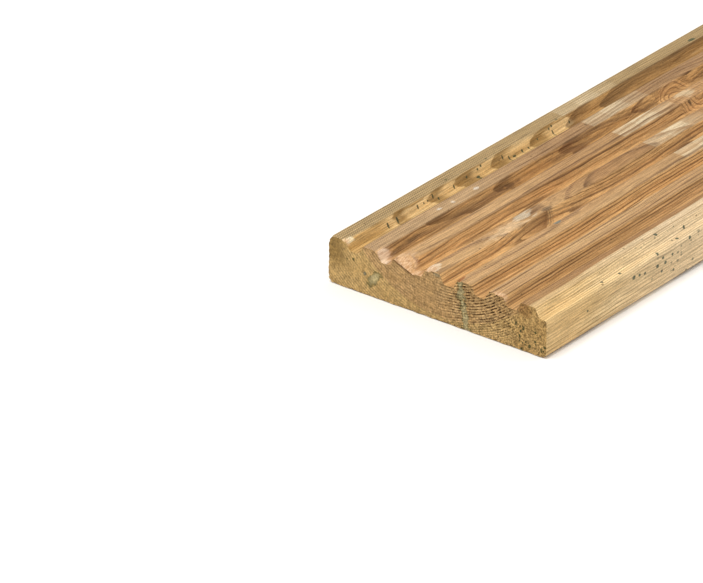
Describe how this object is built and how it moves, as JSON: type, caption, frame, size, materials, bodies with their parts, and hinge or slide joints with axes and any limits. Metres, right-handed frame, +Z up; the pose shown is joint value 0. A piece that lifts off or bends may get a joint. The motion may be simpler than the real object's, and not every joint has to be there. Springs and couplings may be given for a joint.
{
  "type": "decking board",
  "caption": "Pressure-treated softwood decking board with drainage grooves milled along its upper face, smooth underneath and sawn square at both ends.",
  "frame": {"origin": "middle of the smooth underside, halfway along the board", "axes": "+X across the board, towards the edge with the half groove; +Y along the board and its grain; +Z up, out of the grooved face"},
  "size_m": [0.145, 1.8, 0.028],
  "materials": {
    "treated_pine": "planed, brown heartwood between straw-coloured sapwood edges"
  },
  "bodies": {
    "root": {"decking_board": "treated_pine"}
  },
  "joints": []
}
